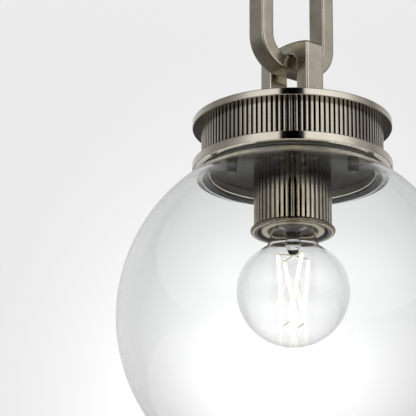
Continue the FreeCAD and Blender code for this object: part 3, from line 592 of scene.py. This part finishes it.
def makeFlanged(name, node, values, webUp):  # plate with a thick edge; its web is on top or below
    low, high = spanOf(node)
    hole = values["nippleHole"]
    corner = values["webCorner"]
    inner = high.x - values["rimWidth"]
    if webUp:
        web = high.z - values["web"]
        outline = [(hole, high.z), (hole, web), (inner - corner, web), (inner, web - corner), (inner, low.z)]
        outline += rimCorners(high.x, low.z, high.z, values["edge"])
    else:
        web = low.z + values["web"]
        outline = [(hole, low.z)] + rimCorners(high.x, low.z, high.z, values["edge"])
        outline += [(inner, high.z), (inner, web + corner), (inner - corner, web), (hole, web)]
    return lathe(name, outline, values["steps"])


def makeRing(name, node, inner, edge, lead=0.4):  # lead: chamfer at both ends of the bore
    low, high = spanOf(node)
    outline = [(inner, high.z - lead), (inner, low.z + lead), (inner + lead, low.z)]
    outline += rimCorners(high.x, low.z, high.z, edge) + [(inner + lead, high.z)]
    return lathe(name, outline, plates["steps"])


def reededDrum(name, crest, low, high, depth, wall, values):
    count = round(2 * math.pi * crest / values["pitch"])
    perReed = 10
    half = values["share"] / 2
    crown = values["crown"]
    spots = [(0.0, 0.0), (half * 0.55, crown * 0.3), (half, crown),  # share of the pitch, drop from the crest
             (half + 0.01, depth), (0.5 - 0.08, depth + 0.15), (0.5, depth + 0.2)]
    spots += [(1 - turn, drop) for turn, drop in reversed(spots[1:5])]
    deselectAll()
    bpy.ops.mesh.primitive_circle_add(vertices=count * perReed, radius=crest * mm, fill_type="NOTHING")
    obj = bpy.context.object
    obj.name = name
    openEdit(obj)
    mesh = bmesh.from_edit_mesh(obj.data)
    mesh.verts.ensure_lookup_table()
    for vert in mesh.verts:  # each run of points is drawn in or out over one reed and its slot
        reed, spot = divmod(vert.index, perReed)
        turn, drop = spots[spot]
        angle = 2 * math.pi * (reed + turn) / count
        vert.co = Vector((math.cos(angle), math.sin(angle), 0)) * (crest - drop) * mm
    bmesh.update_edit_mesh(obj.data)
    bore = crest - depth - wall
    bpy.ops.mesh.primitive_circle_add(vertices=count * perReed, radius=bore * mm, fill_type="NOTHING",
                                      rotation=(0, 0, -math.pi / 2))
    bpy.ops.mesh.select_mode(type="EDGE")
    bpy.ops.mesh.select_all(action="SELECT")
    bpy.ops.mesh.bridge_edge_loops()
    bpy.ops.mesh.select_all(action="SELECT")
    bpy.ops.transform.translate(value=(0, 0, low * mm))
    bpy.ops.mesh.extrude_region_move(TRANSFORM_OT_translate={"value": (0, 0, (high - low) * mm)})
    bpy.ops.mesh.select_all(action="SELECT")
    bpy.ops.mesh.normals_make_consistent(inside=False)
    closeEdit()
    return obj


def makeBand(name, node, values, wall):
    low, high = spanOf(node)
    crest = max(high.x, high.y, -low.x, -low.y)
    return reededDrum(name, crest, low.z, high.z, values["depth"], wall, values)


keepPiece(makeFlanged("collarTopPlate", "collar_top", plates, True), "lamp", "antique_nickel", turnedNickel,
          "collar_top")
keepPiece(makeRing("collarGallery", "collar_gallery", plates["galleryBore"], plates["edge"]), "lamp",
          "antique_nickel", turnedNickel, "collar_gallery")
keepPiece(makeBand("collarBand", "collar_band", reeds, reeds["wall"]), "lamp", "antique_nickel", reedNickel,
          "collar_band", angle=25)
keepPiece(makeFlanged("canopyFace", "canopy_face", plates, False), "canopy", "antique_nickel", turnedNickel,
          "canopy_face")
keepPiece(makeRing("canopyRim", "canopy_rim", plates["canopyBore"], plates["edge"]), "canopy",
          "antique_nickel", turnedNickel, "canopy_rim")
keepPiece(makeBand("canopyBand", "canopy_band", reeds, reeds["canopyWall"]), "canopy", "antique_nickel",
          canopyReedNickel, "canopy_band", angle=25)
print("collar and canopy made")


cup = {"radius": 28.0, "bore": 25.3, "lipHeight": 3.2, "lipEdge": 0.6, "lipLap": 0.2, "lipRoot": 1.6,
       "lidThick": 2.0, "lidLap": 0.3}


def makeCup(values):
    low, high = spanOf("socket_cup")
    lipTop = low.z + values["lipHeight"]
    half = values["lipHeight"] / 2
    lipRadius = max(high.x, high.y)
    wall = values["radius"] - reeds["cupDepth"] - values["bore"]
    drum = reededDrum("socketCup", values["radius"], lipTop, high.z, reeds["cupDepth"], wall, reeds)
    edge = values["lipEdge"]
    lapTop = lipTop + values["lipLap"]
    outline = [(values["bore"], lapTop), (values["bore"], low.z + edge)]
    outline += arc(values["bore"] + edge, low.z + edge, edge, 180, 270, 4)
    outline += arc(lipRadius - half, low.z + half, half, -90, 90, 12)
    lip = lathe("cupLip", outline + [(values["radius"] - values["lipRoot"], lapTop)], 144)
    lidLow = high.z - values["lidThick"]
    lidRadius = values["bore"] + values["lidLap"]
    hole = plates["nippleHole"]
    lid = lathe("cupLid", [(hole, lidLow), (lidRadius, lidLow), (lidRadius, high.z), (hole, high.z)], 96)
    return joinPieces(drum, lip, lid)


holder = {"edge": 0.9, "mouth": 17.9, "mouthDepth": 6.5, "skirt": 16.0, "slope": 2.0, "body": 20.8,
          "bore": 14.8, "topEdge": 1.0, "contactHole": 1.6}


def makeHolder(values):
    low, high = spanOf("lampholder_body")
    radius = high.x
    edge = values["edge"]
    shoulder = low.z + values["skirt"]
    seat = low.z + values["mouthDepth"]
    shellTop = spanOf("screw_shell")[1].z
    outline = [(values["mouth"], low.z + edge)] + arc(values["mouth"] + edge, low.z + edge, edge, 180, 270, 5)
    outline += arc(radius - edge, low.z + edge, edge, -90, 0, 5)
    outline += [(radius, shoulder - 0.5), (radius - 0.4, shoulder + 0.3),
                (values["body"], shoulder + values["slope"])]
    topEdge = values["topEdge"]
    outline += arc(values["body"] - topEdge, high.z - topEdge, topEdge, 0, 90, 4)
    hole = values["contactHole"]
    outline += [(hole, high.z), (hole, shellTop), (values["bore"], shellTop), (values["bore"], seat),
                (values["mouth"], seat)]
    return lathe("porcelainLampholder", outline, 128)


keepPiece(makeCup(cup), "lamp", "antique_nickel", cupNickel, "socket_cup", angle=25)
keepPiece(makeHolder(holder), "lamp", "porcelain", porcelain, "lampholder_body")
print("cup and lampholder made")


globe = {"wall": 3.0, "rimEdge": 0.7}


def makeGlobe(values):
    low, high = spanOf("globe")
    radius = high.x
    middle = low.z + radius
    deselectAll()
    bpy.ops.mesh.primitive_uv_sphere_add(segments=192, ring_count=128, radius=radius * mm,
                                         location=(0, 0, middle * mm))
    obj = bpy.context.object
    obj.name = "glassGlobe"
    bpy.ops.object.transform_apply(location=True)
    applyModifier(obj, "SOLIDIFY", thickness=values["wall"] * mm, offset=-1, use_even_offset=True)
    openEdit(obj)
    bpy.ops.mesh.select_all(action="SELECT")
    bpy.ops.mesh.bisect(plane_co=(0, 0, high.z * mm), plane_no=(0, 0, 1), clear_outer=True)
    bpy.ops.mesh.select_mode(type="EDGE")
    bpy.ops.mesh.bridge_edge_loops()
    bpy.ops.mesh.select_all(action="SELECT")
    bpy.ops.mesh.normals_make_consistent(inside=False)
    selectSharp(20)
    bpy.ops.mesh.bevel(affect="EDGES", offset=values["rimEdge"] * mm, segments=3)
    closeEdit()
    return obj


gasket = {"bore": 61.2, "edge": 0.4, "lead": 0.2}
button = {"bevel": 0.3, "circle": 50.0, "reach": 65.5, "half": 4.0}  # reach: from the lamp's axis to the tip
buttonAngles = {"tab_1": 50.0, "tab_2": 170.0, "tab_3": 290.0}


def makeButton(name, angle, values):
    low, high = spanOf(name)
    way = Vector((math.cos(math.radians(angle)), math.sin(math.radians(angle)), 0))
    circle, half = values["circle"], values["half"]
    outline = arc(0, 0, half, 90, 270, 14) + arc(values["reach"] - circle - half, 0, half, -90, 90, 14)
    obj = drawFace(name.replace("_", ""), outline)
    place = way * circle + Vector((0, 0, (low.z + high.z) / 2))
    return finishBar(obj, high.z - low.z, values["bevel"], False, angle, place)


keepPiece(makeGlobe(globe), "lamp", "clear_glass", globeGlass, "globe", angle=30, flats=False)
keepPiece(makeRing("siliconeGasket", "glass_gasket", gasket["bore"], gasket["edge"], gasket["lead"]), "lamp",
          "gasket_rubber", siliconeRubber, "glass_gasket")
for node, angle in buttonAngles.items():
    keepPiece(makeButton(node, angle, button), node, "antique_nickel", buttonNickel, node)
print("globe made")


bulb = {"wall": 0.8, "shoulder": 34.0, "neck": 16.6, "fillet": 12.0, "neckEnd": 3.5, "closedRadius": 12.1,
        "endRise": 4.5}


def bulbOutline(values, offset, middle, radius, lip, capLow):
    core = radius - values["shoulder"]
    shoulder = values["shoulder"] - offset
    neck = values["neck"] - offset
    fillet = values["fillet"] + offset
    reach = neck + fillet - core
    rise = math.sqrt((shoulder + fillet) ** 2 - reach ** 2)
    join = math.degrees(math.atan2(rise, reach))
    closed = values["closedRadius"] - offset
    outline = arc(0, middle, radius - offset, -90, 0, 40)[1:]
    outline += arc(core, middle, shoulder, 0, join, 28)[1:]
    outline += arc(neck + fillet, middle + rise, fillet, 180 + join, 180, 12)[1:]
    outline += [(neck, lip + values["neckEnd"] - 1.0), (neck - 0.4, lip + values["neckEnd"]),
                (closed + 0.4, capLow - 0.2), (closed, capLow + 0.4), (closed, capLow + values["endRise"])]
    return [(0, middle - radius + offset)] + outline


def makeEnvelope(values):
    low, high = spanOf("bulb_envelope")
    middle = low.z + high.x
    lip = spanOf("socket_cup")[0].z
    capLow = spanOf("bulb_cap")[0].z - 0.1
    outer = bulbOutline(values, 0.0, middle, high.x, lip, capLow)
    inner = bulbOutline(values, values["wall"], middle, high.x, lip, capLow)
    return lathe("bulbEnvelope", outer + inner[::-1], 128, closed=False)


stem = {
    "wall": 0.9, "pinch": 5.0,
    "bead": [(0, 0), (1.6, 0.15), (2.8, 0.6), (3.5, 1.6), (4.0, 3.0), (4.6, 4.6), (5.3, 5.5), (5.6, 6.6),
             (5.6, 7.4), (5.3, 8.4), (4.8, 9.5)],   # radius, height above the lower end
    "flare": [(4.8, 6.0), (5.4, 4.2), (8.0, 2.5)],  # radius, depth below the upper end
}


def makeStem(values):  # blown tube, pinched solid at its lower end round the lead wires
    low, high = spanOf("bulb_stem")
    bottom, top = low.z, high.z
    wall = values["wall"]
    pinch = bottom + values["pinch"]
    outline = [(radius, bottom + rise) for radius, rise in values["bead"]]
    outline += [(radius, top - drop) for radius, drop in values["flare"]]
    outline += [(high.x, top - 0.6), (high.x - 0.3, top), (high.x - wall, top)]
    outline += [(8.0 - wall, top - 1.9), (5.4 - wall, top - 3.8), (4.8 - wall, top - 5.9),  # back down inside
                (4.8 - wall, bottom + 9.3), (5.6 - wall, bottom + 7.4), (5.3 - wall, bottom + 5.8),
                (3.0, pinch), (1.4, pinch - 0.8), (0, pinch - 1.0)]
    return lathe("bulbStem", outline, 64, closed=False)


cap = {"root": 12.2, "crest": 13.1, "wall": 0.35, "skirt": 5.0, "thread": 15.0, "turns": 4, "fade": 1.2,
       "topRadius": 9.6, "ringsPerTurn": 12, "steps": 96}


def makeCap(values):  # the rolled thread is wound as one rising line round the cap
    low, high = spanOf("bulb_cap")
    skirtTop = low.z - 0.1 + values["skirt"]
    threadTop = skirtTop + values["thread"]
    profile = [(values["root"] + values["wall"], low.z), (values["root"] + values["wall"], skirtTop)]
    obj = drawPath("bulbCap", [(r, 0, z) for r, z in profile + capRings(values, skirtTop, threadTop, high.z)])
    bpy.ops.mesh.spin(steps=values["steps"], angle=2 * math.pi, center=(0, 0, 0), axis=(0, 0, 1))
    bpy.ops.mesh.select_all(action="SELECT")
    bpy.ops.mesh.remove_doubles(threshold=weldGap)
    mesh = bmesh.from_edit_mesh(obj.data)
    pitch = (threadTop - skirtTop) * mm / values["turns"]
    for vert in mesh.verts:
        rise = vert.co.z - skirtTop * mm
        fade = min(1.0, max(0.0, min(rise, threadTop * mm - vert.co.z) / (values["fade"] * mm)))
        if fade > 0:
            turn = math.atan2(vert.co.y, vert.co.x) / (2 * math.pi)
            wave = 0.5 - 0.5 * math.cos(2 * math.pi * (rise / pitch - turn))
            radius = (values["root"] + (values["crest"] - values["root"]) * wave * fade) * mm
            flat = Vector((vert.co.x, vert.co.y)).normalized() * radius
            vert.co = Vector((flat.x, flat.y, vert.co.z))
    bmesh.update_edit_mesh(obj.data)
    bpy.ops.mesh.select_all(action="SELECT")
    bpy.ops.mesh.normals_make_consistent(inside=False)
    closeEdit()
    applyModifier(obj, "SOLIDIFY", thickness=values["wall"] * mm, offset=-1)
    return obj


def capRings(values, low, high, top):
    steps = values["turns"] * values["ringsPerTurn"]
    rings = [(values["root"], low + (high - low) * (i + 0.5) / steps) for i in range(steps)]
    return rings + [(values["root"], high), (values["topRadius"], top)]


def capsule(name, start, end, radius, vertices=20):
    run = end - start
    deselectAll()
    turned = run.to_track_quat("Z", "Y").to_euler()
    bpy.ops.mesh.primitive_cylinder_add(vertices=vertices, radius=radius * mm, depth=run.length * mm,
                                        location=(start + end) / 2 * mm, rotation=turned)
    obj = bpy.context.object
    obj.name = name
    bpy.ops.object.transform_apply(location=True, rotation=True)
    openEdit(obj)
    selectSharp(60)
    bpy.ops.mesh.bevel(affect="EDGES", offset=radius * 0.6 * mm, segments=3)
    closeEdit()
    return obj


filament = {"count": 4, "radius": 1.1, "firstAngle": -10.0, "twist": -53.0, "topCircle": 12.5,
            "bottomCircle": 8.0, "topRise": 25.0, "bottomDrop": 23.0}
wire = {"radius": 0.3, "sides": 10, "hubCircle": 0.12, "overlap": 0.45, "clipHalf": 1.1, "clipRise": 0.2,
        "bridgeDrop": 1.55}  # hubCircle: as a share of the filaments' own circle


def filamentEnds(values, middle, index):
    first = math.radians(values["firstAngle"] + 360 / values["count"] * index)
    last = first + math.radians(values["twist"])
    top = Vector((math.cos(first), math.sin(first), 0)) * values["topCircle"]
    bottom = Vector((math.cos(last), math.sin(last), 0)) * values["bottomCircle"]
    top += Vector((0, 0, middle + values["topRise"]))
    bottom += Vector((0, 0, middle - values["bottomDrop"]))
    return top, bottom


def makeFilaments(values, middle):
    rods = []
    for index in range(values["count"]):
        top, bottom = filamentEnds(values, middle, index)
        rods.append(capsule("ledFilaments", top, bottom, values["radius"]))
    return joinPieces(*rods)


def makeWires(values, rods, middle):
    overlap = Vector((0, 0, values["overlap"]))
    rise = Vector((0, 0, values["clipRise"]))
    drop = Vector((0, 0, -values["bridgeDrop"]))
    share = values["hubCircle"]
    hub = spanOf("bulb_stem")[0].z - values["overlap"]
    ends = [filamentEnds(rods, middle, index) for index in range(rods["count"])]
    runs = [(Vector((top.x * share, top.y * share, hub)), top + overlap) for top, bottom in ends]
    for top, bottom in ends:  # short metal tabs across each filament's top
        side = Vector((-top.y, top.x, 0)).normalized() * values["clipHalf"]
        runs.append((top - side + rise, top + side + rise))
    for first in range(0, rods["count"], 2):  # neighbours are joined in pairs at the bottom
        runs.append((ends[first][1] + drop, ends[first + 1][1] + drop))
    wires = [capsule("leadWires", start, end, values["radius"], values["sides"]) for start, end in runs]
    return joinPieces(*wires)


bulbMiddle = spanOf("bulb_envelope")[0].z + spanOf("bulb_envelope")[1].x
keepPiece(makeEnvelope(bulb), "bulb", "bulb_glass", bulbGlass, "bulb_envelope", angle=50, flats=False)
keepPiece(makeStem(stem), "bulb", "bulb_glass", bulbGlass, "bulb_stem", angle=60, flats=False)
keepPiece(makeCap(cap), "bulb", "plated_cap", capNickel, "bulb_cap", angle=60, flats=False)
keepPiece(makeFilaments(filament, bulbMiddle), "bulb", "led_filament", filamentLight, "bulb_filaments")
keepPiece(makeWires(wire, filament, bulbMiddle), "bulb", "lead_wire", leadWire, "bulb_wires")
print("bulb made")


finishes = {  # for the parts that keep their own shape
    zincSteel: ["mounting_strap", "canopy_studs", "stud_nuts", "canopy_gland_nut", "canopy_yoke_screws",
                "lamp_yoke_screws", "lamp_nipple", "lamp_washer", "lamp_top_nut", "lamp_bottom_nut",
                "cup_strap", "cup_screws", "tab_spacers"],
    barNickel: ["canopy_knobs", "canopy_gland"],
    buttonNickel: ["tab_screws"],
    darkUndersideNickel: ["fitter_plate"],
    greenSteel: ["ground_screw"],
    rolledBrass: ["screw_shell", "centre_contact", "terminal_screws", "bulb_tip"],
    blackNylon: ["lamp_bush"],
    blackVitrite: ["bulb_insulator"],
}
for material, names in finishes.items():
    for name in names:
        mesh = nodes[name].data
        if not mesh.materials:
            mesh.materials.append(material)
        for index in range(len(mesh.materials)):
            mesh.materials[index] = material
print("finishes set")
